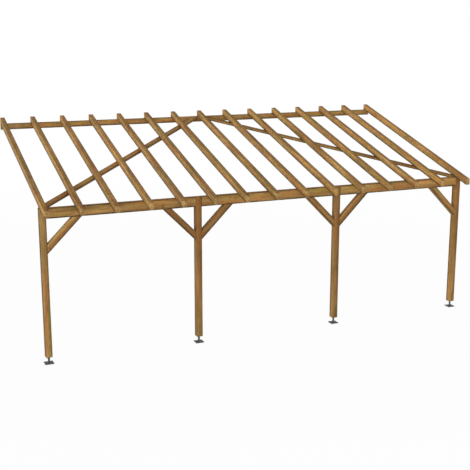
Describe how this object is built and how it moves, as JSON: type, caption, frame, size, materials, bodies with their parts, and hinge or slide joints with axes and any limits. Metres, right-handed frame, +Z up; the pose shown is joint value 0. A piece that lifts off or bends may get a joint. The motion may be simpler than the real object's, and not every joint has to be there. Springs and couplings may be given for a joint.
{
  "type": "lean-to carport",
  "caption": "Open timber lean-to carport frame: front posts on adjustable steel feet, halved front beam with knee braces, birdsmouthed rafters and a wall plate.",
  "frame": {"origin": "centre of the wall plate's back face, which lies on the wall", "axes": "+X along the wall to the right seen from the front, +Y into the wall, +Z up"},
  "size_m": [7.131, 3.305, 3.2755],
  "materials": {
    "timber": "honey-brown stained pine, satin",
    "dark_steel": "dark grey coated steel, satin",
    "zinc_steel": "zinc-plated steel, dull"
  },
  "bodies": {
    "root": {"front_beam": "timber", "wall_plate": "timber", "left_end_post": "timber", "left_middle_post": "timber", "right_middle_post": "timber", "right_end_post": "timber", "rafter_01": "timber", "rafter_02": "timber", "rafter_03": "timber", "rafter_04": "timber", "rafter_05": "timber", "rafter_06": "timber", "rafter_07": "timber", "rafter_08": "timber", "rafter_09": "timber", "rafter_10": "timber", "rafter_11": "timber", "rafter_12": "timber", "rafter_13": "timber", "rafter_14": "timber", "rafter_15": "timber", "left_end_knee": "timber", "left_middle_outer_knee": "timber", "left_middle_inner_knee": "timber", "right_middle_inner_knee": "timber", "right_middle_outer_knee": "timber", "right_end_knee": "timber", "left_wind_brace": "timber", "right_wind_brace": "timber", "left_end_foot_base": "dark_steel", "left_end_foot_nut": "zinc_steel", "left_end_foot_head": "zinc_steel", "left_middle_foot_base": "dark_steel", "left_middle_foot_nut": "zinc_steel", "left_middle_foot_head": "zinc_steel", "right_middle_foot_base": "dark_steel", "right_middle_foot_nut": "zinc_steel", "right_middle_foot_head": "zinc_steel", "right_end_foot_base": "dark_steel", "right_end_foot_nut": "zinc_steel", "right_end_foot_head": "zinc_steel"}
  },
  "joints": []
}
